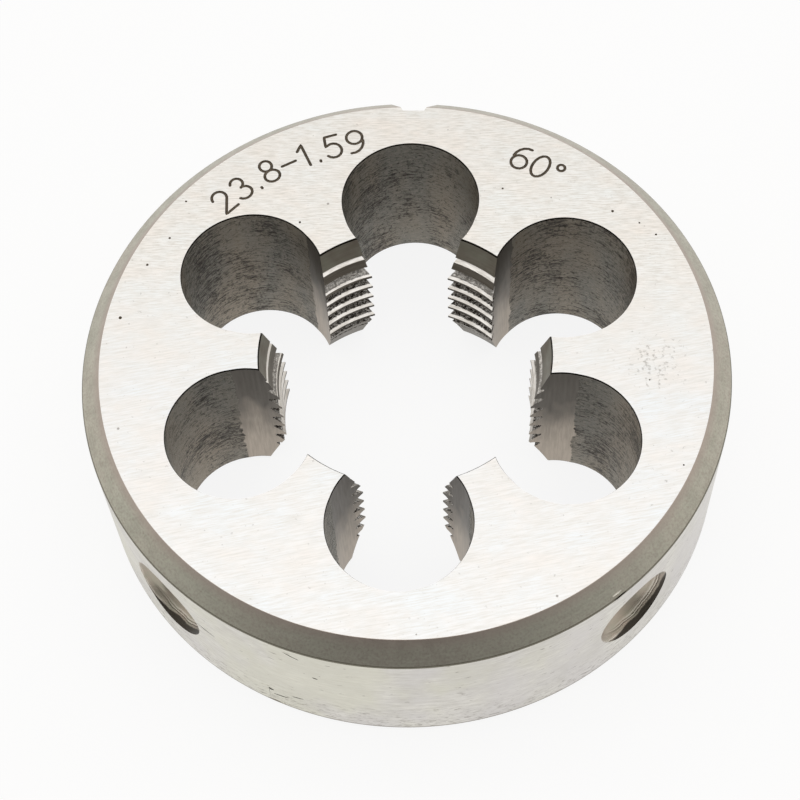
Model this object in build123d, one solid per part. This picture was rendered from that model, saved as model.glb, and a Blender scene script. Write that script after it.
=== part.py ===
from build123d import *
import math
import os

# Round threading die, one solid of hardened tool steel, in millimetres.
# The origin is the centre of the back face, +Z points out of the marked face,
# and the locating groove in the rim is at +Y. Azimuths are in degrees from +X.

# Blank
outer_diameter = 55.0
thickness = 16.0
marked_chamfer_width = 1.7
marked_chamfer_height = 1.75
back_chamfer = 0.6

# Right-hand inch thread: 15/16 inch, with 16 threads to the inch.
# The flats at roots and crests are shares of the pitch, as in the thread's standard form.
thread_major_diameter = 23.8125
thread_pitch = 1.5875
thread_angle = 60.0
root_flat_share = 1 / 8
crest_flat_share = 1 / 6
crest_height_at_x_axis = 1.44

# Lead cones, opened past the thread's major radius at each face
marked_lead_relief = 0.45
marked_lead_half_angle = 17.5
back_lead_relief = 0.85
back_lead_half_angle = 21.0

# Chip holes, and the rake faces ground beside the cutting edges
chip_hole_count = 6
chip_hole_diameter = 12.0
chip_hole_bite = 1.25
rake_wheel_undersize = 0.15
rake_wheel_shift = 0.48

# Locating groove in the rim, in line with a chip hole
groove_azimuth = 90.0
groove_floor_width = 1.9
groove_depth = 2.1
groove_angle = 60.0

# Conical recesses in the rim for the holder's screws, spaced evenly
recess_count = 4
recess_diameter = 8.2
recess_angle = 90.0

# How far cutting tools run past the faces that they leave
overrun = 1.0

# Worked out from the values above
outer_radius = outer_diameter / 2
chip_hole_radius = chip_hole_diameter / 2
major_radius = thread_major_diameter / 2
flank_slope = math.tan(math.radians(thread_angle / 2))
root_flat = thread_pitch * root_flat_share
crest_flat = thread_pitch * crest_flat_share
minor_radius = major_radius - (thread_pitch - root_flat - crest_flat) / 2 / flank_slope
chip_hole_circle_radius = minor_radius - chip_hole_bite + chip_hole_radius


def blank():
    """Turned disc with a wide chamfer on the marked side and a small one on the back."""
    outline = Polyline(
        (0, 0),
        (outer_radius - back_chamfer, 0),
        (outer_radius, back_chamfer),
        (outer_radius, thickness - marked_chamfer_height),
        (outer_radius - marked_chamfer_width, thickness),
        (0, thickness),
        close=True,
    )
    return revolve(Plane.XZ * make_face(outline), Axis.Z)


def bore():
    """Space inside the tooth crests: a cylinder with a lead cone at each end."""
    marked_slope = math.tan(math.radians(marked_lead_half_angle))
    back_slope = math.tan(math.radians(back_lead_half_angle))
    marked_mouth = major_radius + marked_lead_relief
    back_mouth = major_radius + back_lead_relief
    outline = Polyline(
        (0, -overrun),
        (back_mouth + overrun * back_slope, -overrun),
        (minor_radius, (back_mouth - minor_radius) / back_slope),
        (minor_radius, thickness - (marked_mouth - minor_radius) / marked_slope),
        (marked_mouth + overrun * marked_slope, thickness + overrun),
        (0, thickness + overrun),
        close=True,
    )
    return revolve(Plane.XZ * make_face(outline), Axis.Z)


def through_hole(radius, distance, azimuth):
    """Round hole through both faces, its centre at a distance from the axis."""
    drill = Cylinder(radius, thickness + 2 * overrun)
    return Rot(0, 0, azimuth) * Pos(distance, 0, thickness / 2) * drill


def chip_holes():
    """Drilled holes that open into the bore, each with the shallow sweep of the grinding wheel."""
    wheel_radius = chip_hole_radius - rake_wheel_undersize
    wheel_distance = chip_hole_circle_radius - rake_wheel_shift
    holes = []
    for number in range(chip_hole_count):
        azimuth = groove_azimuth + number * 360 / chip_hole_count
        holes.append(through_hole(chip_hole_radius, chip_hole_circle_radius, azimuth))
        holes.append(through_hole(wheel_radius, wheel_distance, azimuth))
    return holes


def thread_turn(azimuth, height):
    """One turn of the truncated vee groove, its middle starting at an azimuth and a height."""
    inner_radius = minor_radius - crest_flat / 3
    half_root = root_flat / 2
    half_mouth = half_root + (major_radius - inner_radius) * flank_slope
    section = Polyline(
        (inner_radius, -half_mouth),
        (major_radius, -half_root),
        (major_radius, half_root),
        (inner_radius, half_mouth),
        close=True,
    )
    path = Helix(pitch=thread_pitch, height=thread_pitch, radius=minor_radius)
    turn = sweep(Plane.XZ * make_face(section), path=path, is_frenet=True)
    return Pos(0, 0, height) * Rot(0, 0, azimuth) * turn


def thread_groove():
    """Turns of the groove that reach both faces, joined end to end inside one chip hole."""
    lead_in = thread_pitch * (groove_azimuth / 360 + 1 / 2)
    first = crest_height_at_x_axis + lead_in
    first -= math.ceil(first / thread_pitch + 1) * thread_pitch
    count = math.ceil((thickness - first) / thread_pitch)
    return [thread_turn(groove_azimuth, first + turn * thread_pitch) for turn in range(count)]


def locating_groove():
    """Flat-bottomed vee groove that runs across the rim."""
    floor_radius = outer_radius - groove_depth
    mouth_radius = outer_radius + overrun
    half_floor = groove_floor_width / 2
    half_mouth = half_floor + (mouth_radius - floor_radius) * math.tan(math.radians(groove_angle / 2))
    section = Polyline(
        (floor_radius, -half_floor),
        (mouth_radius, -half_mouth),
        (mouth_radius, half_mouth),
        (floor_radius, half_floor),
        close=True,
    )
    groove = extrude(make_face(section), thickness + 2 * overrun)
    return Pos(0, 0, -overrun) * Rot(0, 0, groove_azimuth) * groove


def screw_recesses():
    """Conical recesses at half thickness, halfway between the groove and the next quarter turns."""
    recess_radius = recess_diameter / 2
    slope = math.tan(math.radians(recess_angle / 2))
    mouth_radius = recess_radius + overrun * slope
    depth = mouth_radius / slope
    cone = Rot(0, 90, 0) * Cone(0, mouth_radius, depth)
    step = 360 / recess_count
    recesses = []
    for number in range(recess_count):
        azimuth = groove_azimuth + (number + 1 / 2) * step
        place = Pos(outer_radius + overrun - depth / 2, 0, thickness / 2)
        recesses.append(Rot(0, 0, azimuth) * place * cone)
    return recesses


def die_body():
    """The die: blank, bore, chip holes, thread, locating groove and screw recesses."""
    body = blank() - bore()
    body -= chip_holes()
    body -= thread_groove()
    body -= locating_groove()
    body -= screw_recesses()
    return body


os.makedirs("parts", exist_ok=True)
export_step(die_body(), "parts/die_body.step")
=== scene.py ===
import bmesh
import bpy
import math
import numpy as np
from mathutils import Matrix, Vector, noise
from mathutils.geometry import delaunay_2d_cdt


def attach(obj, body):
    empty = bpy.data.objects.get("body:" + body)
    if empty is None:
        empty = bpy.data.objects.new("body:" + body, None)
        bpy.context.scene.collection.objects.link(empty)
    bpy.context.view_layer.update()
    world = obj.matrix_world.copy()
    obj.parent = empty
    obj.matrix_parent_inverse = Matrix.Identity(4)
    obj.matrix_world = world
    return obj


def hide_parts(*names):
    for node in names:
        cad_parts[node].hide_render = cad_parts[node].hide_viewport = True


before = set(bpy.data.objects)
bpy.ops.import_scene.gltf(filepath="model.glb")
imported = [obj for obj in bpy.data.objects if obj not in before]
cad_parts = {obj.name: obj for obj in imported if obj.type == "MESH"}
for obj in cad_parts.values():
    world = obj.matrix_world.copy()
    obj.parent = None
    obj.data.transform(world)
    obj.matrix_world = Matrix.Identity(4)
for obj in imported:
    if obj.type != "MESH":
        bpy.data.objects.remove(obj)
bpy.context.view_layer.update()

# ---------------------------------------------------------------------------
# Sizes, in millimetres. The origin is the centre of the back face, +Z points out of the
# marked face and the locating groove is at +Y. Azimuths are in degrees from +X.
# ---------------------------------------------------------------------------
MM = 0.001

OUTER_RADIUS = 27.4985  # ground 0.0015 mm under its nominal size
THICKNESS = 16.0
MARKED_CHAMFER_WIDTH = 1.7
MARKED_CHAMFER_HEIGHT = 1.75
CHAMFER_FOOT = THICKNESS - MARKED_CHAMFER_HEIGHT
BACK_CHAMFER = 0.6
EDGE_BREAK = 0.05  # what the grinding wheel and a light stoning take off an outer edge
SHARP_BREAK = 0.02  # the marked face was ground last, and its edge is nearly sharp
WORN_BREAK = 0.08  # the foot of the marked chamfer rubs in the die stock
EDGE_FLARE = (0.06, 0.15)  # how far the file opened a hole's edge, and how deep

MAJOR_RADIUS = 23.8125 / 2
PITCH = 1.5875
FLANK_SLOPE = math.tan(math.radians(30))  # of the thread's 60 degree vee
ROOT_FLAT = PITCH / 8
CREST_FLAT = PITCH / 6
MINOR_RADIUS = MAJOR_RADIUS - (PITCH - ROOT_FLAT - CREST_FLAT) / 2 / FLANK_SLOPE
CREST_HEIGHT_AT_X_AXIS = 1.44

MARKED_LEAD_RELIEF = 0.45  # how far the cones open past the thread at the faces
BACK_LEAD_RELIEF = 0.85
MARKED_LEAD_RADIUS = MAJOR_RADIUS + MARKED_LEAD_RELIEF
MARKED_LEAD_SLOPE = math.tan(math.radians(17.5))
BACK_LEAD_RADIUS = MAJOR_RADIUS + BACK_LEAD_RELIEF
BACK_LEAD_SLOPE = math.tan(math.radians(21))

# The tap tore the grooves between these heights, and past them left them clean
TORN_TOP = 13.4
TORN_BOTTOM = 2.2
TORN_FADE = 0.4

HOLE_AZIMUTHS = [90 + 60 * number for number in range(6)]
HOLE_RADIUS = 6.0
HOLE_BITE = 1.25  # how far the chip holes reach past the crests into the bore
HOLE_DISTANCE = MINOR_RADIUS - HOLE_BITE + HOLE_RADIUS
WHEEL_UNDERSIZE = 0.15
WHEEL_SHIFT = 0.48  # toward the die's axis, so that it grinds beside the cutting edges only
WHEEL_RADIUS = HOLE_RADIUS - WHEEL_UNDERSIZE
WHEEL_DISTANCE = HOLE_DISTANCE - WHEEL_SHIFT

GROOVE_HALF_FLOOR = 0.95
GROOVE_DEPTH = 2.1
GROOVE_SLOPE = math.tan(math.radians(30))

RECESS_AZIMUTHS = [135, 225, 315, 45]
RECESS_RADIUS = 4.1

OVERRUN = 1.0  # how far the cutters run past the faces that they leave


# ---------------------------------------------------------------------------
# Finishes. The whole die is one hardened alloy tool steel. The faces and the rim were ground
# after hardening and are bright. Everything else keeps the dark skin of the furnace.
# ---------------------------------------------------------------------------
def linear(code):
    """sRGB hex colour as linear RGBA."""
    parts = [int(code[i : i + 2], 16) / 255 for i in (1, 3, 5)]
    return (*[p / 12.92 if p <= 0.04045 else ((p + 0.055) / 1.055) ** 2.4 for p in parts], 1)


# Settings that many nodes share
COLOURS = {"data_type": "RGBA"}
ADD = {"operation": "ADD"}
MULTIPLY = {"operation": "MULTIPLY"}
MULTIPLY_ADD = {"operation": "MULTIPLY_ADD"}
MAXIMUM = {"operation": "MAXIMUM"}


def add(owner, kind, settings=None, **links):
    """A shader node of a kind with its settings and links.

    A link is named for the input it goes to, or as _0, _1 where inputs share a name. It is a
    value, an output, or a node that gives its first output in use.
    """
    tree = owner.node_tree
    node = tree.nodes.new("ShaderNode" + kind)
    for name, value in (settings or {}).items():
        setattr(node, name, value)
    for name, value in links.items():
        if name[1:].isdigit():
            socket = node.inputs[int(name[1:])]
        else:
            socket = next(s for s in node.inputs if s.enabled and s.name == name.replace("_", " "))
        if isinstance(value, bpy.types.Node):
            value = next(s for s in value.outputs if s.enabled)
        if isinstance(value, bpy.types.NodeSocket):
            tree.links.new(value, socket)
        else:
            socket.default_value = value
    return node


def steel(name):
    """A new material and its place on the part, in millimetres."""
    material = bpy.data.materials.new(name)
    material.use_nodes = True
    material.node_tree.nodes.clear()
    metres = add(material, "TexCoord").outputs["Object"]
    place = add(material, "Mapping", Vector=metres, Scale=(1 / MM, 1 / MM, 1 / MM))
    return material, place


def surface_ground_steel():
    """Hardened tool steel, surface ground: bright, with fine nearly straight wheel lines."""
    material, place = steel("surface_ground_steel")
    axes = add(material, "SeparateXYZ", Vector=place)
    # Wheel lines are 0.01 mm apart on real steel. They are drawn 0.13 mm wide and 1.3 mm long
    # to show. The die shifted a little on the magnet, so the front lines run at a slant.
    texture = {"vector_type": "TEXTURE"}
    straight = add(material, "Mapping", texture, Vector=place, Rotation=(0, 0, 0.026))
    straight = add(material, "Mapping", Vector=straight, Scale=(1 / 1.3, 1 / 0.13, 1))
    rear = add(material, "TexNoise", Vector=straight, Scale=1.0, Detail=4.0, Roughness=0.75)
    slanted = add(material, "Mapping", texture, Vector=place, Rotation=(0, 0, 0.227))
    slanted = add(material, "Mapping", Vector=slanted, Scale=(1 / 2.2, 1 / 0.15, 1))
    front = add(material, "TexNoise", Vector=slanted, Scale=1.0, Detail=4.0, Roughness=0.75)
    toward_rear = add(material, "MapRange", Value=axes.outputs["Y"], From_Min=-4.0, From_Max=10.0)
    lines = add(material, "Mix", {"data_type": "FLOAT"}, Factor=toward_rear, A=front, B=rear)
    # Cool and warm clouds about 5 mm across, where the skin was ground away unevenly
    clouds = add(material, "Mapping", Vector=place, Scale=(1 / 6, 1 / 3.5, 1))
    clouds = add(material, "TexNoise", Vector=clouds, Scale=1.0, Detail=4.0, Roughness=0.65)
    warm = add(material, "MapRange", Value=clouds, From_Min=0.35, From_Max=0.65)
    # Painted reflection: the colours are cooler at the front and warmer toward the rear
    cool = add(material, "Mix", COLOURS, Factor=toward_rear, A=linear("#e5e8eb"), B=linear("#eaebea"))
    straw = add(material, "Mix", COLOURS, Factor=toward_rear, A=linear("#e8e4e1"), B=linear("#ebe5df"))
    clean = add(material, "Mix", COLOURS, Factor=warm, A=cool, B=straw)
    # Less light reaches the eye from the walls of the grinding lines, and this painted shade is darker
    # toward the rear
    shade = add(material, "Mix", COLOURS, Factor=toward_rear, A=linear("#dbd9d5"), B=linear("#d0ccc5"))
    open_steel = add(material, "MapRange", Value=lines, From_Min=0.32, From_Max=0.58)
    lined = add(material, "Mix", COLOURS, Factor=open_steel, A=shade, B=clean)
    # Specks of scale that the wheel didn't clean out, up to 0.2 mm across and some 2 mm apart
    cells = add(material, "TexVoronoi", Vector=place, Scale=1 / 1.8, Randomness=1.0)
    chance = add(material, "SeparateColor", Color=cells.outputs["Color"])
    size = add(material, "MapRange", Value=chance, From_Min=0.55, From_Max=1.0, To_Min=0.0, To_Max=0.07)
    speck = add(material, "Math", {"operation": "LESS_THAN"}, _0=cells, _1=size)
    # A patch of small dents, some 5 mm across, where the right of the marked face was knocked
    reach = add(material, "VectorMath", {"operation": "DISTANCE"}, _0=place, _1=(21.0, -0.7, THICKNESS))
    near = add(material, "MapRange", Value=reach, From_Min=0.4, From_Max=3.4, To_Min=0.16, To_Max=0.0)
    crumbs = add(material, "TexNoise", Vector=place, Scale=1 / 0.35, Detail=3.0, Roughness=0.6)
    crumbs = add(material, "Math", ADD, _0=crumbs, _1=near)
    dents = add(material, "MapRange", Value=crumbs, From_Min=0.66, From_Max=0.8, To_Min=0.0, To_Max=0.45)
    faint = add(material, "Math", MULTIPLY_ADD, _0=speck, _1=0.6, _2=dents)
    colour = add(material, "Mix", COLOURS, Factor=faint, A=lined, B=linear("#6a6257"))
    gloss = add(material, "MapRange", Value=lines, From_Min=0.3, From_Max=0.7, To_Min=0.44, To_Max=0.36)
    height = add(material, "Math", {"operation": "SUBTRACT"}, _0=lines, _1=faint)
    bumps = add(material, "Bump", Height=height, Distance=0.006 * MM, Strength=1.0)
    shader = add(
        material, "BsdfPrincipled", Metallic=1.0, Base_Color=colour, Roughness=gloss, Normal=bumps,
    )
    add(material, "OutputMaterial", Surface=shader)
    return material


def cylindrically_ground_steel():
    """Hardened tool steel, ground round on centres: light grey, with faint dashes round the rim."""
    material, place = steel("cylindrically_ground_steel")
    axes = add(material, "SeparateXYZ", Vector=place)
    # Grinding dashes drawn 1.4 mm long and 0.22 mm wide, coarser than real ones, to show
    dashes = add(material, "Mapping", Vector=place, Scale=(1 / 1.4, 1 / 1.4, 1 / 0.22))
    dashes = add(material, "TexNoise", Vector=dashes, Scale=1.0, Detail=5.0, Roughness=0.75)
    # Clouds 5 to 7 mm across, where the rim was handled
    clouds = add(material, "Mapping", Vector=place, Scale=(1 / 7, 1 / 7, 1 / 5))
    clouds = add(material, "TexNoise", Vector=clouds, Scale=1.0, Detail=4.0, Roughness=0.7)
    bright = add(material, "MapRange", Value=clouds, From_Min=0.38, From_Max=0.6)
    tint = add(material, "Mix", COLOURS, Factor=bright, A=linear("#d4d1cb"), B=linear("#e4e1d9"))
    smooth = add(material, "MapRange", Value=dashes, From_Min=0.32, From_Max=0.6)
    lined = add(material, "Mix", COLOURS, Factor=smooth, A=linear("#cac6be"), B=tint)
    # A film of dried coolant tints it, straw in some places and slate in others, 10 mm apart
    film = add(material, "Mapping", Vector=place, Scale=(-1 / 10, 1 / 10, 1 / 16))
    film = add(material, "TexNoise", Vector=film, Scale=1.0, Detail=3.0, Roughness=0.6)
    straw = add(material, "MapRange", Value=film, From_Min=0.5, From_Max=0.6, To_Min=0.0, To_Max=0.5)
    lined = add(material, "Mix", COLOURS, Factor=straw, A=lined, B=linear("#dbd9c6"))
    slate = add(material, "MapRange", Value=film, From_Min=0.5, From_Max=0.4, To_Min=0.0, To_Max=0.5)
    lined = add(material, "Mix", COLOURS, Factor=slate, A=lined, B=linear("#d7d3d2"))
    # Stains gather in flecks of 0.7 by 0.25 mm along the lower edge, and a band 0.2 mm high at the foot
    # of the rim is darker
    low = add(
        material, "MapRange", Value=axes.outputs["Z"],
        From_Min=6.0, From_Max=0.6, To_Min=0.0, To_Max=0.8,
    )
    flecks = add(material, "Mapping", Vector=place, Scale=(1 / 0.7, 1 / 0.7, 1 / 0.25))
    flecks = add(material, "TexNoise", Vector=flecks, Scale=1.0, Detail=4.0, Roughness=0.7)
    flecks = add(material, "MapRange", Value=flecks, From_Min=0.52, From_Max=0.66)
    stain = add(material, "Math", MULTIPLY, _0=low, _1=flecks)
    # A few scuffs a millimetre long
    scuffs = add(material, "Mapping", Vector=place, Scale=(1 / 1.1, 1 / 1.1, 1 / 0.33))
    scuffs = add(material, "TexNoise", Vector=scuffs, Scale=1.0, Detail=2.0, Roughness=0.6)
    scuffs = add(
        material, "MapRange", Value=scuffs, From_Min=0.69, From_Max=0.73, To_Min=0.0, To_Max=0.7,
    )
    edge = add(
        material, "MapRange", Value=axes.outputs["Z"],
        From_Min=0.86, From_Max=0.76, To_Min=0.0, To_Max=0.8,
    )
    worn = add(material, "Math", MAXIMUM, _0=stain, _1=scuffs)
    worn = add(material, "Math", MAXIMUM, _0=worn, _1=edge)
    colour = add(material, "Mix", COLOURS, Factor=worn, A=lined, B=linear("#7d756b"))
    gloss = add(material, "MapRange", Value=dashes, From_Min=0.3, From_Max=0.7, To_Min=0.45, To_Max=0.36)
    bumps = add(material, "Bump", Height=dashes, Distance=0.006 * MM, Strength=1.0)
    shader = add(
        material, "BsdfPrincipled", Metallic=1.0, Base_Color=colour, Roughness=gloss, Normal=bumps,
    )
    add(material, "OutputMaterial", Surface=shader)
    return material


def turned_and_hardened_steel():
    """Turned, then left with the thin olive skin of hardening: satin and a little mottled."""
    material, place = steel("turned_and_hardened_steel")
    # Mottling about 1.2 mm across, over clouds of 8 mm
    mottle = add(material, "TexNoise", Vector=place, Scale=1 / 1.2, Detail=4.0, Roughness=0.65)
    clouds = add(material, "TexNoise", Vector=place, Scale=1 / 8, Detail=2.0, Roughness=0.5)
    # Turning lines drawn 0.11 mm apart, the feed of a finishing cut
    turning = add(material, "Mapping", Vector=place, Scale=(1 / 7, 1 / 7, 1 / 0.11))
    turning = add(material, "TexNoise", Vector=turning, Scale=1.0, Detail=3.0, Roughness=0.6)
    browner = add(material, "MapRange", Value=clouds, From_Min=0.35, From_Max=0.65)
    skin = add(material, "Mix", COLOURS, Factor=browner, A=linear("#b9b7a9"), B=linear("#bbb4a7"))
    darker = add(
        material, "MapRange", Value=mottle, From_Min=0.36, From_Max=0.64, To_Min=0.0, To_Max=0.5,
    )
    skin = add(material, "Mix", COLOURS, Factor=darker, A=skin, B=linear("#a19e92"))
    lined = add(material, "MapRange", Value=turning, From_Min=0.4, From_Max=0.6, To_Min=0.0, To_Max=0.2)
    skin = add(material, "Mix", COLOURS, Factor=lined, A=skin, B=linear("#cbc8bc"))
    # Scale grains about 0.2 mm across, some rusty and some green
    grain = add(material, "TexNoise", Vector=place, Scale=1 / 0.2, Detail=2.0, Roughness=0.6)
    rusty = add(material, "MapRange", Value=grain, From_Min=0.5, From_Max=0.7, To_Min=0.0, To_Max=0.4)
    skin = add(material, "Mix", COLOURS, Factor=rusty, A=skin, B=linear("#9a8a7f"))
    green = add(material, "MapRange", Value=grain, From_Min=0.5, From_Max=0.3, To_Min=0.0, To_Max=0.35)
    skin = add(material, "Mix", COLOURS, Factor=green, A=skin, B=linear("#c6c8b4"))
    # The thin edge beside the ground face ran hottest under the wheel, and is tinted brown
    height = add(material, "SeparateXYZ", Vector=place).outputs["Z"]
    tinted = add(
        material, "MapRange", Value=height, From_Min=THICKNESS - 0.7, From_Max=THICKNESS - 0.1,
        To_Min=0.0, To_Max=0.7,
    )
    skin = add(material, "Mix", COLOURS, Factor=tinted, A=skin, B=linear("#b5a69d"))
    # A thin line within 0.1 mm of the worn foot is darker
    darker_at_foot = add(material, "Math", {"operation": "COMPARE"}, _0=height, _1=CHAMFER_FOOT, _2=0.1)
    colour = add(material, "Mix", COLOURS, Factor=darker_at_foot, A=skin, B=linear("#7b776a"))
    gloss = add(material, "MapRange", Value=mottle, From_Min=0.3, From_Max=0.7, To_Min=0.38, To_Max=0.46)
    bumps = add(material, "Bump", Height=turning, Distance=0.006 * MM, Strength=1.0)
    shader = add(
        material, "BsdfPrincipled", Metallic=1.0, Base_Color=colour, Roughness=gloss, Normal=bumps,
    )
    add(material, "OutputMaterial", Surface=shader)
    return material


def filed_and_hardened_steel():
    """Edge broken with a file before hardening: a thin dark line that the wheel didn't reach."""
    material, place = steel("filed_and_hardened_steel")
    # File marks about half a millimetre apart
    marks = add(material, "TexNoise", Vector=place, Scale=1 / 0.5, Detail=3.0, Roughness=0.6)
    worn = add(material, "MapRange", Value=marks, From_Min=0.35, From_Max=0.65)
    colour = add(material, "Mix", COLOURS, Factor=worn, A=linear("#221e1a"), B=linear("#332e28"))
    shader = add(material, "BsdfPrincipled", Metallic=1.0, Base_Color=colour, Roughness=0.55)
    add(material, "OutputMaterial", Surface=shader)
    return material


def drilled_and_hardened_steel():
    """Drilled, then hardened: dark brown grey, with uneven rings that the drill's lips left."""
    material, place = steel("drilled_and_hardened_steel")
    # Torn rings 1.2 mm long and 0.22 mm wide, in patches some 5 mm across
    rings = add(material, "Mapping", Vector=place, Scale=(1 / 1.2, 1 / 1.2, 1 / 0.22))
    rings = add(material, "TexNoise", Vector=rings, Scale=1.0, Detail=6.0, Roughness=0.8)
    patches = add(material, "TexNoise", Vector=place, Scale=1 / 4.5, Detail=2.0, Roughness=0.5)
    patchy = add(material, "Math", MULTIPLY_ADD, _0=patches, _1=0.3, _2=rings)
    # Fine scoring, drawn 0.45 mm long and 0.11 mm wide
    scores = add(material, "Mapping", Vector=place, Scale=(1 / 0.45, 1 / 0.45, 1 / 0.11))
    scores = add(material, "TexNoise", Vector=scores, Scale=1.0, Detail=3.0, Roughness=0.7)
    # The skin goes from slate to brown in bands 4 mm wide that run the depth of the hole
    bands = add(material, "Mapping", Vector=place, Scale=(1 / 4, 1 / 4, 1 / 12))
    bands = add(material, "TexNoise", Vector=bands, Scale=1.0, Detail=2.0, Roughness=0.5)
    browner = add(material, "MapRange", Value=bands, From_Min=0.38, From_Max=0.62)
    skin = add(material, "Mix", COLOURS, Factor=browner, A=linear("#87857d"), B=linear("#999082"))
    whole = add(material, "MapRange", Value=patchy, From_Min=0.555, From_Max=0.645)
    torn = add(material, "Mix", COLOURS, Factor=whole, A=linear("#39342f"), B=skin)
    bared = add(material, "MapRange", Value=scores, From_Min=0.48, From_Max=0.7, To_Min=0.0, To_Max=0.65)
    bright = add(material, "Mix", COLOURS, Factor=bared, A=torn, B=linear("#b8b0a4"))
    # Pits of 0.15 mm, most where the lips tore
    pits = add(material, "TexNoise", Vector=place, Scale=1 / 0.3, Detail=2.0, Roughness=0.6)
    pits = add(material, "Math", MULTIPLY_ADD, _0=patches, _1=0.3, _2=pits)
    pitted = add(material, "MapRange", Value=pits, From_Min=0.6, From_Max=0.52, To_Min=0.0, To_Max=0.6)
    colour = add(material, "Mix", COLOURS, Factor=pitted, A=bright, B=linear("#34302b"))
    gloss = add(material, "MapRange", Value=scores, From_Min=0.3, From_Max=0.7, To_Min=0.4, To_Max=0.54)
    height = add(material, "Math", MULTIPLY_ADD, _0=scores, _1=0.4, _2=rings)
    bumps = add(material, "Bump", Height=height, Distance=0.15 * MM, Strength=1.0)
    shader = add(
        material, "BsdfPrincipled", Metallic=1.0, Base_Color=colour, Roughness=gloss, Normal=bumps,
    )
    add(material, "OutputMaterial", Surface=shader)
    return material


def wheel_ground_rake_steel():
    """Ground beside the cutting edges, then tempered: smoother, browner towards the back face."""
    material, place = steel("wheel_ground_rake_steel")
    axes = add(material, "SeparateXYZ", Vector=place)
    # Wheel lines along the bore, drawn 0.22 mm wide to show
    lines = add(material, "Mapping", Vector=place, Scale=(1 / 0.22, 1 / 0.22, 1 / 2.8))
    lines = add(material, "TexNoise", Vector=lines, Scale=1.0, Detail=4.0, Roughness=0.65)
    clouds = add(material, "Mapping", Vector=place, Scale=(1 / 2, 1 / 2, 1 / 4))
    clouds = add(material, "TexNoise", Vector=clouds, Scale=1.0, Detail=2.0, Roughness=0.5)
    # Darker above and lighter below, changing raggedly between some 10 and 4 mm of height
    level = add(material, "Math", MULTIPLY_ADD, _0=clouds, _1=9.0, _2=axes.outputs["Z"])
    low = add(material, "MapRange", Value=level, From_Min=15.0, From_Max=8.0)
    skin = add(material, "Mix", COLOURS, Factor=low, A=linear("#69645d"), B=linear("#a49a8e"))
    streaks = add(material, "MapRange", Value=lines, From_Min=0.4, From_Max=0.62, To_Min=0.0, To_Max=0.7)
    streaks = add(material, "Math", MULTIPLY, _0=streaks, _1=low)
    colour = add(material, "Mix", COLOURS, Factor=streaks, A=skin, B=linear("#bdb2a5"))
    gloss = add(material, "MapRange", Value=lines, From_Min=0.3, From_Max=0.7, To_Min=0.4, To_Max=0.5)
    bumps = add(material, "Bump", Height=lines, Distance=0.012 * MM, Strength=1.0)
    shader = add(
        material, "BsdfPrincipled", Metallic=1.0, Base_Color=colour, Roughness=gloss, Normal=bumps,
    )
    add(material, "OutputMaterial", Surface=shader)
    return material


def lead_cone_steel():
    """Turned lead cone, hardened: smooth and dark olive, browner between the first grooves."""
    material, place = steel("lead_cone_steel")
    axes = add(material, "SeparateXYZ", Vector=place)
    # Turning lines drawn 0.12 mm apart, over clouds of 2 mm
    lines = add(material, "Mapping", Vector=place, Scale=(1 / 3, 1 / 3, 1 / 0.12))
    lines = add(material, "TexNoise", Vector=lines, Scale=1.0, Detail=3.0, Roughness=0.6)
    clouds = add(material, "TexNoise", Vector=place, Scale=1 / 2, Detail=3.0, Roughness=0.6)
    browner = add(material, "MapRange", Value=clouds, From_Min=0.35, From_Max=0.65)
    skin = add(material, "Mix", COLOURS, Factor=browner, A=linear("#8e8c7e"), B=linear("#847c70"))
    # Browner from where the first grooves start, some 2 mm under the marked face
    inner = add(material, "MapRange", Value=axes.outputs["Z"], From_Min=14.2, From_Max=13.4)
    skin = add(material, "Mix", COLOURS, Factor=inner, A=skin, B=linear("#6b645a"))
    lined = add(material, "MapRange", Value=lines, From_Min=0.4, From_Max=0.62, To_Min=0.0, To_Max=0.3)
    colour = add(material, "Mix", COLOURS, Factor=lined, A=skin, B=linear("#99948a"))
    gloss = add(material, "MapRange", Value=clouds, From_Min=0.3, From_Max=0.7, To_Min=0.42, To_Max=0.52)
    bumps = add(material, "Bump", Height=lines, Distance=0.008 * MM, Strength=1.0)
    shader = add(
        material, "BsdfPrincipled", Metallic=1.0, Base_Color=colour, Roughness=gloss, Normal=bumps,
    )
    add(material, "OutputMaterial", Surface=shader)
    return material


def tooth_crest_steel():
    """Crests of the teeth, left from the bored hole: narrow and hardened, and coloured dark as painted
    shade.
    """
    material, place = steel("tooth_crest_steel")
    # Mottling half a millimetre across
    mottle = add(material, "TexNoise", Vector=place, Scale=1 / 0.45, Detail=3.0, Roughness=0.6)
    worn = add(material, "MapRange", Value=mottle, From_Min=0.35, From_Max=0.65)
    # Painted shade: the crest strips are coloured dark all over
    colour = add(material, "Mix", COLOURS, Factor=worn, A=linear("#3d3832"), B=linear("#5a534a"))
    shader = add(material, "BsdfPrincipled", Metallic=1.0, Base_Color=colour, Roughness=0.5)
    add(material, "OutputMaterial", Surface=shader)
    return material


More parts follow.
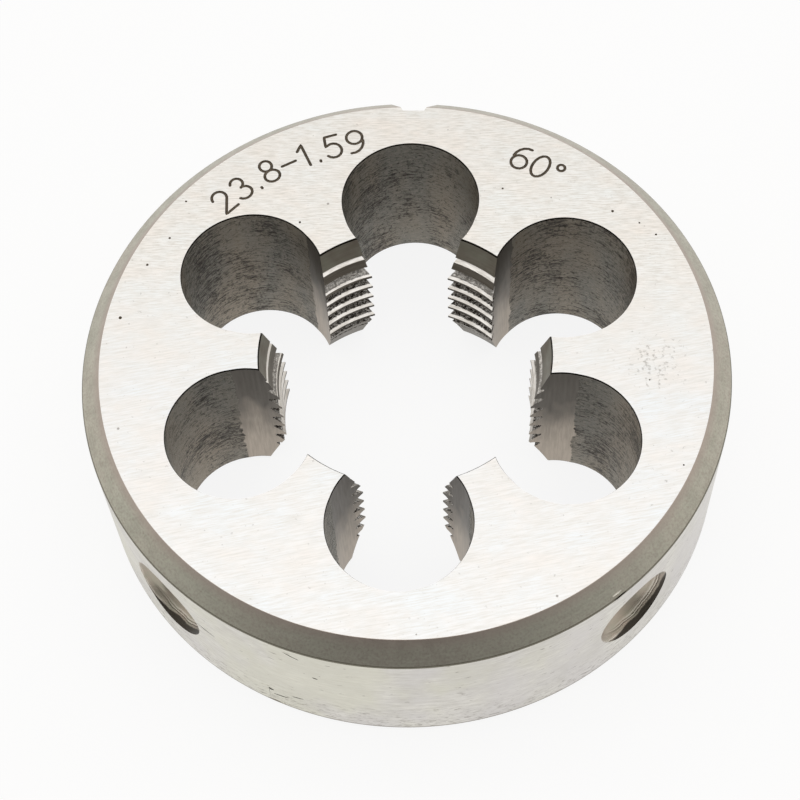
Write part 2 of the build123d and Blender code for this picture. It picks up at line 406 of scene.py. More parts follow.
def tapped_thread_steel():
    """Thread flanks: bright and smooth by the crest, torn towards the root, and darker there as painted
    shade.

    The shallow grooves in the lead cones are cut cleanly and stay bright.
    """
    material, place = steel("tapped_thread_steel")
    height = add(material, "SeparateXYZ", Vector=place).outputs["Z"]
    flat = add(material, "VectorMath", MULTIPLY, _0=place, _1=(1, 1, 0))
    radius = add(material, "VectorMath", {"operation": "LENGTH"}, _0=flat)
    # Torn grains about 0.22 mm across
    torn = add(material, "Mapping", Vector=place, Scale=(1 / 0.24, 1 / 0.24, 1 / 0.22))
    torn = add(material, "TexNoise", Vector=torn, Scale=1.0, Detail=4.0, Roughness=0.85)
    ragged = add(material, "Math", MULTIPLY_ADD, _0=torn, _1=-0.35, _2=radius)
    deep = add(
        material, "MapRange", Value=ragged, From_Min=MINOR_RADIUS + 0.07, From_Max=MINOR_RADIUS + 0.15,
    )
    under_marked_lead = add(
        material, "MapRange", Value=height, From_Min=TORN_TOP, From_Max=TORN_TOP - TORN_FADE,
    )
    over_back_lead = add(
        material, "MapRange", Value=height, From_Min=TORN_BOTTOM, From_Max=TORN_BOTTOM + TORN_FADE,
    )
    deep = add(material, "Math", MULTIPLY, _0=deep, _1=under_marked_lead)
    deep = add(material, "Math", MULTIPLY, _0=deep, _1=over_back_lead)
    # The first full flank did the least work and is torn least
    cleaner = add(
        material, "MapRange", Value=height, From_Min=10.7, From_Max=11.3, To_Min=1.0, To_Max=0.6,
    )
    deep = add(material, "Math", MULTIPLY, _0=deep, _1=cleaner)
    # Painted shade with real tearing: the torn grains are coloured dark only toward the root, where the
    # groove lies in shade
    hollow = add(material, "MapRange", Value=torn, From_Min=0.56, From_Max=0.47)
    dark = add(material, "Math", MULTIPLY, _0=deep, _1=hollow)
    # Fine drag lines along the thread, drawn 0.11 mm apart
    drag = add(material, "Mapping", Vector=place, Scale=(1 / 1.2, 1 / 1.2, 1 / 0.11))
    drag = add(material, "TexNoise", Vector=drag, Scale=1.0, Detail=3.0, Roughness=0.6)
    drag = add(material, "MapRange", Value=drag, From_Min=0.35, From_Max=0.65)
    bright = add(material, "Mix", COLOURS, Factor=drag, A=linear("#f3f0ec"), B=linear("#d0cbc4"))
    colour = add(material, "Mix", COLOURS, Factor=dark, A=bright, B=linear("#463f38"))
    gloss = add(material, "MapRange", Value=dark, To_Min=0.32, To_Max=0.6)
    lumps = add(material, "Math", MULTIPLY, _0=deep, _1=torn)
    bumps = add(material, "Bump", Height=lumps, Distance=0.15 * MM, Strength=1.0)
    shader = add(
        material, "BsdfPrincipled", Metallic=1.0, Base_Color=colour, Roughness=gloss, Normal=bumps,
    )
    add(material, "OutputMaterial", Surface=shader)
    return material


def countersunk_recess_steel():
    """Countersunk, then hardened: brown grey, with chatter rings, and a dark lip of scale and painted
    shade on one side.
    """
    material, place = steel("countersunk_recess_steel")
    # All four recesses folded onto the one at 45 degrees, to find the distance from its axis
    folded = add(material, "VectorMath", {"operation": "ABSOLUTE"}, _0=place)
    level = add(material, "VectorMath", {"operation": "SUBTRACT"}, _0=folded, _1=(0, 0, THICKNESS / 2))
    sideways = (-math.sqrt(0.5), math.sqrt(0.5), 0)
    across = add(material, "VectorMath", {"operation": "DOT_PRODUCT"}, _0=level, _1=sideways)
    height = add(material, "SeparateXYZ", Vector=level).outputs["Z"]
    spot = add(material, "CombineXYZ", X=across, Y=height)
    reach = add(material, "VectorMath", {"operation": "LENGTH"}, _0=spot)
    # Folding turns every second recess round, which the sign of x times y puts right
    axes = add(material, "SeparateXYZ", Vector=place)
    quarter = add(material, "Math", MULTIPLY, _0=axes.outputs["X"], _1=axes.outputs["Y"])
    quarter = add(material, "Math", {"operation": "SIGN"}, _0=quarter)
    side = add(material, "Math", MULTIPLY, _0=across, _1=quarter)
    # Painted shade on the low side and to the right: the rings and the dark lip reach further in from
    # the mouth there
    toward_painted_shade = add(material, "Math", MULTIPLY, _0=height, _1=-0.75)
    toward_painted_shade = add(material, "Math", MULTIPLY_ADD, _0=side, _1=0.65, _2=toward_painted_shade)
    toward_painted_shade = add(material, "Math", {"operation": "DIVIDE"}, _0=toward_painted_shade, _1=reach)
    # Here torn holds how far the painted shade reaches in from the mouth
    torn = add(material, "MapRange", Value=toward_painted_shade, From_Min=-0.1, From_Max=0.8, To_Min=-0.1, To_Max=0.42)
    clouds = add(material, "TexNoise", Vector=place, Scale=1 / 1.6, Detail=4.0, Roughness=0.65)
    ragged = add(material, "Math", MULTIPLY_ADD, _0=clouds, _1=0.35, _2=reach)
    # Toward the mouth the cone passes from smooth to ringed to dark, sooner on the side of the painted
    # shade
    outward = add(material, "Math", ADD, _0=ragged, _1=torn)
    # Chatter rings about 0.15 mm apart
    along = add(material, "CombineXYZ", X=ragged)
    rings = add(material, "TexNoise", Vector=along, Scale=1 / 0.15, Detail=3.0, Roughness=0.7)
    browner = add(material, "MapRange", Value=clouds, From_Min=0.35, From_Max=0.65)
    skin = add(material, "Mix", COLOURS, Factor=browner, A=linear("#aaa595"), B=linear("#b8aa9c"))
    ringed = add(
        material, "MapRange", Value=outward, From_Min=3.5, From_Max=4.0, To_Min=0.0, To_Max=0.95,
    )
    crest = add(material, "MapRange", Value=rings, From_Min=0.54, From_Max=0.58)
    crest = add(material, "Math", MULTIPLY, _0=ringed, _1=crest)
    skin = add(material, "Mix", COLOURS, Factor=crest, A=skin, B=linear("#dcd7cd"))
    furrow = add(material, "MapRange", Value=rings, From_Min=0.48, From_Max=0.44)
    furrow = add(material, "Math", MULTIPLY, _0=ringed, _1=furrow)
    skin = add(material, "Mix", COLOURS, Factor=furrow, A=skin, B=linear("#35302a"))
    # A dark lip at the mouth, of scale, widened into painted shade on the low, right side
    lip = add(material, "MapRange", Value=outward, From_Min=4.16, From_Max=4.26)
    colour = add(material, "Mix", COLOURS, Factor=lip, A=skin, B=linear("#443f38"))
    chatter = add(material, "Math", MULTIPLY, _0=ringed, _1=rings)
    bumps = add(material, "Bump", Height=chatter, Distance=0.1 * MM, Strength=1.0)
    shader = add(
        material, "BsdfPrincipled", Metallic=1.0, Base_Color=colour, Roughness=0.42, Normal=bumps,
    )
    add(material, "OutputMaterial", Surface=shader)
    return material


def engraved_mark_steel():
    """Engraved with a rounded point and darkened, so that the figures read."""
    material, place = steel("engraved_mark_steel")
    # Burnt mottling 0.2 mm across
    mottle = add(material, "TexNoise", Vector=place, Scale=1 / 0.2, Detail=3.0, Roughness=0.6)
    worn = add(material, "MapRange", Value=mottle, From_Min=0.35, From_Max=0.65)
    colour = add(material, "Mix", COLOURS, Factor=worn, A=linear("#5a5248"), B=linear("#776d60"))
    shader = add(material, "BsdfPrincipled", Metallic=1.0, Base_Color=colour, Roughness=0.6)
    add(material, "OutputMaterial", Surface=shader)
    return material


FINISHES = {
    "ground_face": surface_ground_steel(),
    "ground_rim": cylindrically_ground_steel(),
    "turned_edge": turned_and_hardened_steel(),
    "filed_edge": filed_and_hardened_steel(),
    "drilled_wall": drilled_and_hardened_steel(),
    "rake_band": wheel_ground_rake_steel(),
    "lead_cone": lead_cone_steel(),
    "tooth_crest": tooth_crest_steel(),
    "cut_thread": tapped_thread_steel(),
    "recess": countersunk_recess_steel(),
    "engraving": engraved_mark_steel(),
}
FINISH_NUMBER = {name: number for number, name in enumerate(FINISHES)}


# ---------------------------------------------------------------------------
# Blank and cutting tools
# ---------------------------------------------------------------------------
def turned(profile, steps, place=Matrix(), spacing=None, wander=None):
    """Points and faces of a solid of revolution about Z.

    The profile runs upward from one axis point to another as (radius, height, finish of the
    surface that leads there). Spacing divides it finely, and wander moves each point of it
    outward by wander(angle, radius, height).
    """
    fine = [profile[0]]
    for (r0, z0, _), (r1, z1, finish) in zip(profile, profile[1:]):
        count = math.ceil(math.hypot(r1 - r0, z1 - z0) / spacing) if spacing and finish else 1
        for i in range(1, count + 1):
            t = i / count
            fine.append((r0 + (r1 - r0) * t, z0 + (z1 - z0) * t, finish))
    rings = fine[1:-1]
    points = [(0, 0, fine[0][1]), (0, 0, fine[-1][1])]
    for r, z, _ in rings:
        for j in range(steps):
            angle = math.tau * j / steps
            radius = r + (wander(angle, r, z) if wander else 0)
            points.append((radius * math.cos(angle), radius * math.sin(angle), z))
    faces = []
    top = 2 + (len(rings) - 1) * steps
    spare = "ground_face"  # for the ends of a tool, which never touch the die
    for j in range(steps):
        k = (j + 1) % steps
        faces.append(((0, 2 + k, 2 + j), rings[0][2] or spare))
        faces.append(((1, top + j, top + k), fine[-1][2] or spare))
        for i, ring in enumerate(rings[1:]):
            low = 2 + i * steps
            faces.append(((low + j, low + k, low + steps + k, low + steps + j), ring[2] or spare))
    return [place @ Vector(p) for p in points], faces


def joined(name, parts):
    """One closed mesh object from separate parts, each points and (corner numbers, finish) faces."""
    points = []
    faces = []
    finishes = []
    for part_points, part_faces in parts:
        start = len(points)
        points += [Vector(p) * MM for p in part_points]
        faces += [[c + start for c in corners] for corners, _ in part_faces]
        finishes += [FINISH_NUMBER[finish] for _, finish in part_faces]
    mesh = bpy.data.meshes.new(name)
    mesh.from_pydata(points, [], faces)
    for material in FINISHES.values():
        mesh.materials.append(material)
    mesh.polygons.foreach_set("material_index", finishes)
    body = bpy.data.objects.new(name, mesh)
    bpy.context.scene.collection.objects.link(body)
    return body


def cut(body, tool):
    """Takes the tool's space out of the body, whose new walls keep the tool's finish."""
    step = body.modifiers.new("cut", "BOOLEAN")
    step.operation = "DIFFERENCE"
    step.solver = "MANIFOLD"
    step.object = tool
    graph = bpy.context.evaluated_depsgraph_get()
    result = bpy.data.meshes.new_from_object(body.evaluated_get(graph))
    body.modifiers.remove(step)
    old = body.data
    body.data = result
    bpy.data.meshes.remove(old)
    bpy.data.objects.remove(tool)


def mark_depth(spot, marks):
    """How deep the marks are at a spot of the marked face, in millimetres."""
    start, end, radius, depth = marks
    along = end - start
    length = np.maximum((along**2).sum(1), 1e-9)
    share = np.clip(((spot - start) * along).sum(1) / length, 0, 1)
    away = ((start + along * share[:, None] - spot) ** 2).sum(1)
    return float(np.max(depth * np.clip(1 - away / radius**2, 0, 1)))


def relay(body, marks, mark_spots):
    """Lays both ground faces anew in even flat triangles, and sinks the marks in the marked face."""
    work = bmesh.new()
    work.from_mesh(body.data)
    tiny = 0.0002 * MM
    level_within = 0.002 * MM
    whole_hull = 0
    merge_within = 1e-6
    bmesh.ops.remove_doubles(work, verts=work.verts, dist=tiny)
    bmesh.ops.dissolve_degenerate(work, edges=work.edges, dist=tiny)
    number = FINISH_NUMBER["ground_face"]
    for level in (0, THICKNESS * MM):
        flat = {
            f for f in work.faces
            if f.material_index == number
            and all(abs(v.co.z - level) < level_within for v in f.verts)
        }
        border = [e for e in {e for f in flat for e in f.edges} if len(flat & set(e.link_faces)) == 1]
        corners = list({v for e in border for v in e.verts})
        place = {v: i for i, v in enumerate(corners)}
        bmesh.ops.delete(work, geom=list(flat), context="FACES_KEEP_BOUNDARY")
        for vertex in corners:
            vertex.co.z = level
        spots = [v.co.xy / MM for v in corners]
        sides = [(place[e.verts[0]], place[e.verts[1]]) for e in border]
        start = np.array([spots[i] for i, _ in sides])
        end = np.array([spots[i] for _, i in sides])
        spots += mark_spots if level else []
        laid, _, triangles, origin, _, _ = delaunay_2d_cdt(spots, sides, [], whole_hull, merge_within)
        points = []
        for spot, old in zip(laid, origin):
            if old and old[0] < len(corners):
                points.append(corners[old[0]])
            else:
                sunk = mark_depth(np.array(spot), marks)
                points.append(work.verts.new((*(spot * MM), level - sunk * MM)))
        # A triangle is steel where a line from its middle crosses the border an odd number of times
        for triangle in triangles:
            x, y = sum((laid[i] for i in triangle), Vector((0, 0))) / 3
            spans = (start[:, 1] > y) != (end[:, 1] > y)
            a, b = start[spans], end[spans]
            crossings = a[:, 0] + (y - a[:, 1]) / (b[:, 1] - a[:, 1]) * (b[:, 0] - a[:, 0])
            if np.count_nonzero(crossings > x) % 2:
                ring = [points[i] for i in triangle]
                face = work.faces.new(ring if level else ring[::-1])
                sunk = level and mark_depth(np.array((x, y)), marks)
                face.material_index = FINISH_NUMBER["engraving"] if sunk else number
    loose = [v for v in work.verts if not v.link_faces]
    bmesh.ops.delete(work, geom=loose, context="VERTS")
    work.to_mesh(body.data)
    work.free()


def rough(x, y, z):
    """Smooth noise from -1 to 1."""
    return noise.noise(Vector((x, y, z)))


def ramp(value, start, end):
    """0 up to start, 1 past end, and straight between."""
    return min(max((value - start) / (end - start), 0), 1)


def placed(azimuth, distance, height=0):
    """Place at an azimuth and a distance from the die's axis, with +X outward."""
    turn = Matrix.Rotation(math.radians(azimuth), 4, "Z")
    return turn @ Matrix.Translation((distance, 0, height))


def blank():
    """Turned disc with a wide chamfer on the marked side, a small one on the back."""
    slant = math.hypot(MARKED_CHAMFER_WIDTH, MARKED_CHAMFER_HEIGHT)
    inward = MARKED_CHAMFER_WIDTH / slant
    upward = MARKED_CHAMFER_HEIGHT / slant
    corner = EDGE_BREAK * math.sqrt(0.5)
    brow = OUTER_RADIUS - MARKED_CHAMFER_WIDTH
    profile = [
        (0, 0, "ground_face"),
        (OUTER_RADIUS - BACK_CHAMFER - EDGE_BREAK, 0, "ground_face"),
        (OUTER_RADIUS - BACK_CHAMFER + corner, corner, "turned_edge"),
        (OUTER_RADIUS - corner, BACK_CHAMFER - corner, "turned_edge"),
        (OUTER_RADIUS, BACK_CHAMFER + EDGE_BREAK, "ground_rim"),
        (OUTER_RADIUS, CHAMFER_FOOT - WORN_BREAK, "ground_rim"),
        (OUTER_RADIUS - WORN_BREAK * inward, CHAMFER_FOOT + WORN_BREAK * upward, "turned_edge"),
        (brow + SHARP_BREAK * inward, THICKNESS - SHARP_BREAK * upward, "turned_edge"),
        (brow - SHARP_BREAK, THICKNESS, "turned_edge"),
        (0, THICKNESS, "ground_face"),
    ]
    return joined("round_threading_die", [turned(profile, steps=720)])


def bore_tool():
    """Cylinder through the tooth crests, with a lead cone at each end."""
    back_run = (BACK_LEAD_RADIUS - MINOR_RADIUS) / BACK_LEAD_SLOPE
    marked_run = (MARKED_LEAD_RADIUS - MINOR_RADIUS) / MARKED_LEAD_SLOPE
    out, deep = EDGE_FLARE
    back_edge = BACK_LEAD_RADIUS - deep * BACK_LEAD_SLOPE
    marked_edge = MARKED_LEAD_RADIUS - deep * MARKED_LEAD_SLOPE
    profile = [
        (0, -OVERRUN, None),
        (BACK_LEAD_RADIUS + out, -OVERRUN, None),
        (BACK_LEAD_RADIUS + out, 0, "filed_edge"),
        (back_edge, deep, "filed_edge"),
        (MINOR_RADIUS, back_run, "lead_cone"),
        (MINOR_RADIUS, THICKNESS - marked_run, "tooth_crest"),
        (marked_edge, THICKNESS - deep, "lead_cone"),
        (MARKED_LEAD_RADIUS + out, THICKNESS, "filed_edge"),
        (MARKED_LEAD_RADIUS + out, THICKNESS + OVERRUN, "filed_edge"),
        (0, THICKNESS + OVERRUN, None),
    ]
    return joined("bore_tool", [turned(profile, steps=720)])


def through_profile(radius, wall):
    """Outline of a round cutter that passes through the die and opens a filed edge at each face."""
    out, deep = EDGE_FLARE
    return [
        (0, -OVERRUN, None),
        (radius + out, -OVERRUN, None),
        (radius + out, 0, "filed_edge"),
        (radius, deep, "filed_edge"),
        (radius, THICKNESS - deep, wall),
        (radius + out, THICKNESS, "filed_edge"),
        (radius + out, THICKNESS + OVERRUN, "filed_edge"),
        (0, THICKNESS + OVERRUN, None),
    ]


def chip_hole_tool():
    """Six drills. Their walls keep the irregular rings that the drill's lips left."""
    parts = []
    for azimuth in HOLE_AZIMUTHS:

        def rings(angle, r, z, azimuth=azimuth):
            if z < 0 or z > THICKNESS or r != HOLE_RADIUS:
                return 0
            x = math.cos(angle)
            y = math.sin(angle)
            fade = min(z, THICKNESS - z, 2) / 2  # over 2 mm at each end, so that the edge stays round
            broad = rough(1.1 * x + azimuth, 1.1 * y, 0.6 * z)
            fine = rough(2.3 * x + azimuth, 2.3 * y, 3.1 * z)
            return fade * (0.02 * broad + 0.022 * fine)

        profile = through_profile(HOLE_RADIUS, "drilled_wall")
        place = placed(azimuth, HOLE_DISTANCE)
        parts.append(turned(profile, steps=108, place=place, spacing=0.2, wander=rings))
    return joined("chip_hole_tool", parts)


def rake_wheel_tool():
    """The grinding wheel's six sweeps, which put a rake face beside each cutting edge."""
    profile = through_profile(WHEEL_RADIUS, "rake_band")
    places = [placed(azimuth, WHEEL_DISTANCE) for azimuth in HOLE_AZIMUTHS]
    return joined("rake_wheel_tool", [turned(profile, steps=240, place=place) for place in places])


def thread_tool():
    """Right-hand vee groove, torn towards its root as a tap tears hard steel."""
    # It starts a little inside the crests, so that the cut is clean
    inner = MINOR_RADIUS - CREST_FLAT / 3
    half_root = ROOT_FLAT / 2
    depth = MAJOR_RADIUS - inner
    flank_steps = 6
    section = []
    for i in range(flank_steps + 1):
        r = inner + depth * i / flank_steps
        section.append((r, -half_root - (MAJOR_RADIUS - r) * FLANK_SLOPE))
    section += [(r, -h) for r, h in reversed(section)]
    # Fine steps of 0.6 degrees along each land, and coarse ones over the chip hole after it
    angles = []
    for azimuth in HOLE_AZIMUTHS:
        land = azimuth - 90
        angles += [land - 15 + 0.6 * i for i in range(51)]
        angles += [land + 22.5, land + 30, land + 37.5]
    # The groove starts two pitches under the first crest, below the back face
    first = CREST_HEIGHT_AT_X_AXIS + PITCH / 2 - 2 * PITCH
    turns = math.ceil((THICKNESS - first) / PITCH) + 1
    rows = []
    for turn in range(turns):
        rows += [a + 360 * turn for a in angles]
    points = []
    for a in rows:
        z0 = first + PITCH * a / 360
        c = math.cos(math.radians(a))
        s = math.sin(math.radians(a))
        for r, h in section:
            x, y, z = r * c, r * s, z0 + h
            deep = ramp(r, MINOR_RADIUS + 0.2, MINOR_RADIUS + 0.5)
            deep *= ramp(z, TORN_TOP, TORN_TOP - TORN_FADE)
            deep *= ramp(z, TORN_BOTTOM, TORN_BOTTOM + TORN_FADE)
            tear = 0.07 * deep * rough(3.2 * x, 3.2 * y, 5.0 * z)
            side = 0.6 if h > 0 else -0.6
            points.append(((r + tear) * c, (r + tear) * s, z + side * tear))
    n = len(section)
    faces = []
    for i in range(len(rows) - 1):
        for j in range(n):
            k = (j + 1) % n
            a, b = i * n, (i + 1) * n
            faces.append(((a + j, b + j, b + k, a + k), "cut_thread"))
    last = (len(rows) - 1) * n
    faces.append((tuple(range(n)), "cut_thread"))
    faces.append((tuple(range(last + n - 1, last - 1, -1)), "cut_thread"))
    return joined("thread_tool", [(points, faces)])


def groove_tool():
    """Flat-bottomed vee cutter for the locating groove at +Y."""
    bottom = OUTER_RADIUS - GROOVE_DEPTH
    mouth = OUTER_RADIUS + OVERRUN
    half_mouth = GROOVE_HALF_FLOOR + (mouth - bottom) * GROOVE_SLOPE
    ring = [(-GROOVE_HALF_FLOOR, bottom), (GROOVE_HALF_FLOOR, bottom)]
    ring += [(half_mouth, mouth), (-half_mouth, mouth)]
    points = [Vector((x, y, -OVERRUN)) for x, y in ring]
    points += [Vector((x, y, THICKNESS + OVERRUN)) for x, y in ring]
    corners = [(3, 2, 1, 0), (4, 5, 6, 7), (0, 1, 5, 4), (1, 2, 6, 5), (2, 3, 7, 6), (3, 0, 4, 7)]
    return joined("groove_tool", [(points, [(c, "turned_edge") for c in corners])])


def recess_tool():
    """Four countersinks in the rim, with the rings where the cutter chattered."""
    parts = []
    reach = RECESS_RADIUS + OVERRUN

    def chatter(angle, r, z):
        if r > RECESS_RADIUS + 0.3 or r < 0.4:
            return 0
        near_mouth = ramp(r, 2.0, 3.2)
        return near_mouth * 0.05 * rough(1.5 * math.cos(angle), 1.5 * math.sin(angle), 4.0 * r)

    profile = [(0, 0, "recess"), (0.05, 0.05, "recess"), (reach, reach, "recess"), (0, reach, None)]
    for azimuth in RECESS_AZIMUTHS:
        place = placed(azimuth, OUTER_RADIUS - RECESS_RADIUS, THICKNESS / 2)
        place = place @ Matrix.Rotation(math.radians(90), 4, "Y")
        parts.append(turned(profile, steps=84, place=place, spacing=0.16, wander=chatter))
    return joined("recess_tool", parts)


# Nicks and scuffs of the rim: azimuth, height, length, width, slant in degrees, depth and finish
NICKS = [
    (309.7, 14.55, 1.0, 0.28, 2, 0.10, "ground_rim"),
    (310.1, 14.27, 1.4, 0.18, 5, 0.10, "filed_edge"),
    (309.1, 13.95, 0.9, 0.14, 8, 0.05, "ground_rim"),
    (252.4, 13.10, 1.5, 0.14, -28, 0.04, "filed_edge"),
    (251.6, 13.50, 0.7, 0.14, -8, 0.04, "ground_rim"),
    (256.1, 9.60, 0.5, 0.18, -17, 0.05, "filed_edge"),
    (234.9, 9.10, 2.3, 0.12, -14, 0.03, "filed_edge"),
    (235.2, 10.60, 1.1, 0.12, 20, 0.03, "ground_rim"),
    (246.0, 3.80, 1.3, 0.16, 25, 0.04, "ground_rim"),
    (246.2, 3.10, 1.2, 0.22, 59, 0.05, "ground_rim"),
    (246.9, 3.30, 0.6, 0.30, 10, 0.06, "filed_edge"),
    (248.8, 2.60, 1.5, 0.16, 10, 0.05, "filed_edge"),
    (252.1, 3.60, 1.1, 0.14, 12, 0.04, "filed_edge"),
    (250.4, 3.00, 0.8, 0.14, -6, 0.04, "ground_rim"),
    (252.9, 2.40, 1.2, 0.14, 30, 0.04, "ground_rim"),
    (236.4, 3.10, 1.5, 0.22, 40, 0.05, "ground_rim"),
    (247.6, 0.90, 2.0, 0.40, 12, 0.08, "ground_rim"),
    (276.5, 4.60, 0.5, 0.14, 14, 0.04, "ground_rim"),
    (321.1, 11.10, 1.9, 0.10, -23, 0.03, "ground_rim"),
    (61.0, 9.80, 1.2, 0.14, 18, 0.04, "ground_rim"),
    (118.0, 5.40, 0.9, 0.16, -22, 0.04, "ground_rim"),
    (172.0, 11.20, 1.1, 0.14, 12, 0.04, "ground_rim"),
    (16.0, 6.10, 1.3, 0.14, -9, 0.04, "ground_rim"),
]


def nick_tool():
    """Small knocks in the rim, each the shape of a lens."""
    parts = []
    for azimuth, height, length, width, slant, depth, finish in NICKS:
        profile = [(math.sin(a), -math.cos(a), finish) for a in (math.pi * i / 6 for i in range(1, 6))]
        profile = [(0, -1, finish)] + profile + [(0, 1, finish)]
        # The nicks above the foot sit on the chamfer
        above = max(0, height - CHAMFER_FOOT)
        radius = OUTER_RADIUS - above * MARKED_CHAMFER_WIDTH / MARKED_CHAMFER_HEIGHT
        place = placed(azimuth, radius, height) @ Matrix.Rotation(math.radians(slant), 4, "X")
        place = place @ Matrix.Diagonal((depth, length / 2, width / 2, 1))
        parts.append(turned(profile, steps=16, place=place))
    return joined("nick_tool", parts)


def arc(x, y, width, height, start, end):
    """Pen points on an ellipse, between angles in degrees."""
    count = max(3, round(abs(end - start) / 20))
    angles = [math.radians(start + (end - start) * i / count) for i in range(count + 1)]
    return [(x + width * math.cos(a), y + height * math.sin(a)) for a in angles]


# Each figure's pen strokes on a height of 1. A stroke that ends where it starts is closed.
PEN = {
    "0": [arc(0.3, 0.5, 0.3, 0.5, 0, 360)],
    "1": [[(0.1, 0.76), (0.34, 1.0), (0.34, 0.0)]],
    "2": [arc(0.3, 0.72, 0.28, 0.28, 170, -38) + [(0.0, 0.0), (0.6, 0.0)]],
    "3": [arc(0.28, 0.76, 0.24, 0.24, 155, -82), arc(0.28, 0.27, 0.3, 0.27, 82, -155)],
    "5": [[(0.56, 1.0), (0.1, 1.0), (0.04, 0.55)] + arc(0.28, 0.32, 0.31, 0.32, 118, -145)],
    "6": [arc(0.3, 0.3, 0.3, 0.3, 0, 360), arc(0.46, 0.48, 0.46, 0.52, 82, 178)],
    "8": [arc(0.3, 0.76, 0.23, 0.24, 0, 360), arc(0.3, 0.26, 0.29, 0.26, 0, 360)],
    "9": [arc(0.3, 0.7, 0.3, 0.3, 0, 360), arc(0.14, 0.52, 0.46, 0.52, -98, -2)],
    "-": [[(0.0, 0.42), (0.56, 0.42)]],
    ".": [[(0.08, 0.0), (0.08, 0.05)]],
    "\u00b0": [arc(0.16, 0.86, 0.14, 0.14, 0, 360)],
}
# The room each takes and the middle of its strokes, both as shares of the figures' height
FIGURE_WIDTH = {"1": 0.6, "-": 0.82, ".": 0.42, "\u00b0": 0.6}
FIGURE_MIDDLE = {".": 0.08, "\u00b0": 0.16}
PLAIN_WIDTH = 0.92
PLAIN_MIDDLE = 0.3
FIGURE_HEIGHT = 2.4
FIGURE_RADIUS = 21.25
PEN_RADIUS = 0.13
PEN_DEPTH = 0.11


def figures(text, first_azimuth, last_azimuth):
    """Pen paths of plain figures along an arc, in millimetres, their tops outward, read clockwise."""
    widths = [FIGURE_WIDTH.get(figure, PLAIN_WIDTH) for figure in text]
    middles = [sum(widths[:i]) + width / 2 for i, width in enumerate(widths)]
    paths = []
    for figure, width, middle in zip(text, widths, middles):
        share = (middle - middles[0]) / (middles[-1] - middles[0])
        azimuth = math.radians(first_azimuth + (last_azimuth - first_azimuth) * share)
        outward = Vector((math.cos(azimuth), math.sin(azimuth)))
        onward = Vector((math.sin(azimuth), -math.cos(azimuth)))
        shift = FIGURE_MIDDLE.get(figure, PLAIN_MIDDLE)
        for stroke in PEN[figure]:
            paths.append([
                outward * (FIGURE_RADIUS + y * FIGURE_HEIGHT) + onward * (x - shift) * FIGURE_HEIGHT
                for x, y in stroke
            ])
    return paths


def sampled(path, spacing):
    """The path's points with others between them, no further apart than the spacing."""
    points = [path[0]]
    for a, b in zip(path, path[1:]):
        count = max(1, math.ceil((b - a).length / spacing))
        points += [a.lerp(b, i / count) for i in range(1, count + 1)]
    return points


# Small pits in the marked face: x, y and width
PITS = [
    (-22.36, 14.45, 0.30),
    (-22.6, 8.5, 0.24),
    (-24.4, 3.1, 0.30),
    (-19.8, 15.2, 0.20),
    (-20.9, 11.3, 0.22),
    (-9.6, 13.1, 0.22),
    (17.7, 14.6, 0.26),
    (19.4, 17.3, 0.20),
    (20.9, 15.8, 0.20),
    (8.1, 16.9, 0.20),
    (21.4, 12.2, 0.20),
    (20.0, 13.4, 0.18),
    (20.4, -2.3, 0.14),
    (22.9, -10.2, 0.16),
]


def face_marks():
    """Segments of all marks in the marked face, and the spots that their relief needs."""
    strokes = [(path, PEN_RADIUS, PEN_DEPTH) for path in figures("23.8-1.59", 137.3, 103.2)]
    strokes += [(path, PEN_RADIUS, PEN_DEPTH) for path in figures("60\u00b0", 64.3, 55.3)]
    strokes += [([Vector((x, y))] * 2, size / 2, size / 3) for x, y, size in PITS]
    segments = [(a, b, radius, depth) for path, radius, depth in strokes for a, b in zip(path, path[1:])]
    marks = [np.array([s[i] for s in segments]) for i in range(4)]
    spots = []
    for path, radius, _ in strokes:
        fine = sampled(path, spacing=0.14)
        for i, here in enumerate(fine):
            before = fine[max(i - 1, 0)]
            after = fine[min(i + 1, len(fine) - 1)]
            along = (after - before).normalized() if after != before else Vector((1, 0))
            across = Vector((-along.y, along.x))
            spots += [here + across * radius * share for share in (-1.0, -0.5, 0.0, 0.5, 1.0)]
        for tip, inner in ((fine[0], fine[1]), (fine[-1], fine[-2])):
            away = math.atan2(*(tip - inner).yx) if tip != inner else 0
            reach = 60 if tip != inner else 150
            for degrees in range(-reach, reach + 1, 30):
                a = away + math.radians(degrees)
                spots.append(tip + Vector((math.cos(a), math.sin(a))) * radius)
    return marks, spots


die = blank()
cut(die, bore_tool())
cut(die, chip_hole_tool())
cut(die, rake_wheel_tool())
cut(die, thread_tool())
cut(die, groove_tool())
cut(die, recess_tool())
cut(die, nick_tool())
relay(die, *face_marks())
# Round walls shade smoothly, corners over 18 degrees stay sharp, and the ground faces are flat
die.data.shade_smooth()
die.data.set_sharp_from_angle(angle=math.radians(18))
for face in die.data.polygons:
    if face.material_index == FINISH_NUMBER["ground_face"]:
        face.use_smooth = False
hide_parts("die_body")
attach(die, "root")


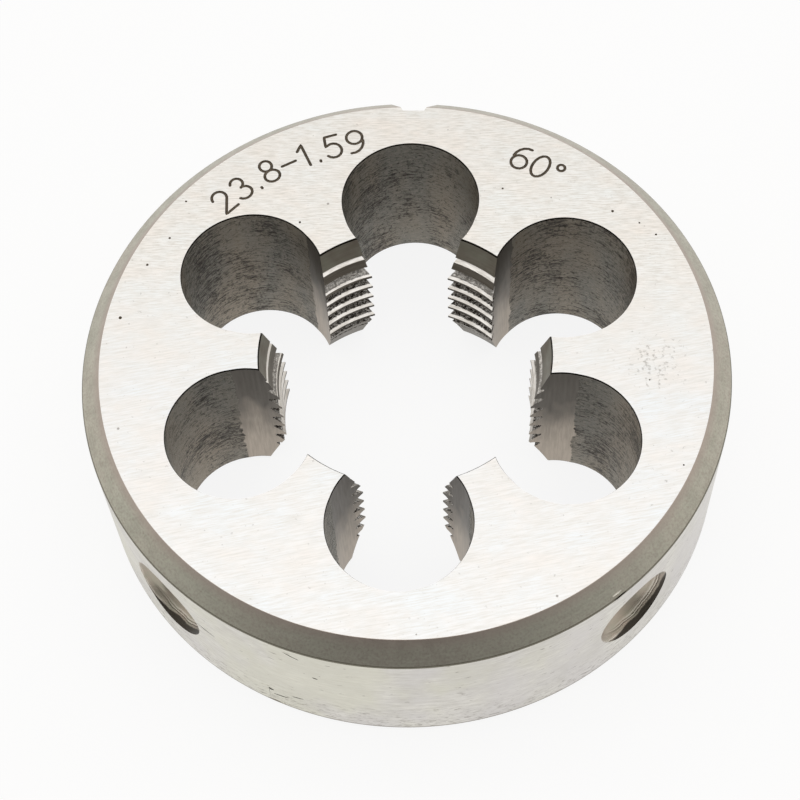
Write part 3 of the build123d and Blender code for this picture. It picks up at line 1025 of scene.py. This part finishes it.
# ---------------------------------------------------------------------------
# Floor, light and camera
# ---------------------------------------------------------------------------
def floor():
    """Plain white sheet under the die."""
    size = 2.0
    mesh = bpy.data.meshes.new("floor")
    corners = [(-size, -size, 0), (size, -size, 0), (size, size, 0), (-size, size, 0)]
    mesh.from_pydata(corners, [], [(0, 1, 2, 3)])
    sheet = bpy.data.objects.new("floor", mesh)
    bpy.context.scene.collection.objects.link(sheet)
    material = bpy.data.materials.new("white_sheet")
    material.use_nodes = True
    material.node_tree.nodes.clear()
    matte = add(material, "BsdfDiffuse", Color=linear("#f4f3f2"))
    glow = add(material, "Emission", Color=(1, 1, 1, 1), Strength=1.0)
    # The eye and the steel see it nearly white, and it still takes the die's shadow
    ray = add(material, "LightPath")
    seen = add(
        material, "Math", MAXIMUM, _0=ray.outputs["Is Camera Ray"], _1=ray.outputs["Is Glossy Ray"],
    )
    seen = add(material, "Math", MAXIMUM, _0=seen, _1=ray.outputs["Is Transmission Ray"])
    share = add(material, "Math", MULTIPLY, _0=seen, _1=0.87)
    surface = add(material, "MixShader", _0=share, _1=matte, _2=glow)
    add(material, "OutputMaterial", Surface=surface)
    mesh.materials.append(material)


def light_room():
    """Pale room, dimmer on the side that the camera is on, with a broad soft box overhead."""
    world = bpy.data.worlds.new("room")
    bpy.context.scene.world = world
    world.use_nodes = True
    world.node_tree.nodes.clear()
    way = add(world, "TexCoord").outputs["Generated"]
    rearward = add(world, "SeparateXYZ", Vector=way).outputs["Y"]
    level = add(
        world, "MapRange", Value=rearward, From_Min=-0.95, From_Max=-0.05, To_Min=0.11, To_Max=0.84,
    )
    back = add(world, "Background", Color=linear("#fffdf9"), Strength=level)
    add(world, "OutputWorld", Surface=back)
    lamp = bpy.data.lights.new("soft_box", "AREA")
    lamp.size = 1.6
    lamp.energy = 4.4
    box = bpy.data.objects.new("soft_box", lamp)
    box.location = (0, -0.05, 1.0)
    box.rotation_mode = "QUATERNION"
    box.rotation_quaternion = (-box.location).to_track_quat("-Z", "Y")
    bpy.context.scene.collection.objects.link(box)


def camera():
    """Looks down at the marked face from the front, turned a little."""
    width = 800
    focal = 1916.74  # in pixels of that width
    distance = 168.0
    elevation = math.radians(60.93)
    roll = math.radians(-3.40)
    turn = Matrix.Rotation(math.radians(4.784), 4, "Z")
    target = Vector((-0.648, -0.061, 8.0))
    lens = bpy.data.cameras.new("camera")
    lens.sensor_width = 36
    lens.lens = lens.sensor_width * focal / width
    lens.clip_start = 0.01
    lens.clip_end = 10
    back = Vector((0, -math.cos(elevation), math.sin(elevation)))
    right = Vector((1, 0, 0))
    up = back.cross(right)
    leaned_right = right * math.cos(roll) + up * math.sin(roll)
    leaned_up = up * math.cos(roll) - right * math.sin(roll)
    place = Matrix((leaned_right, leaned_up, back)).transposed().to_4x4()
    place.translation = (target + back * distance) * MM
    eye = bpy.data.objects.new("camera", lens)
    eye.matrix_world = turn @ place
    bpy.context.scene.collection.objects.link(eye)
    bpy.context.scene.camera = eye


floor()
light_room()
camera()
bpy.context.scene.view_settings.view_transform = "Standard"
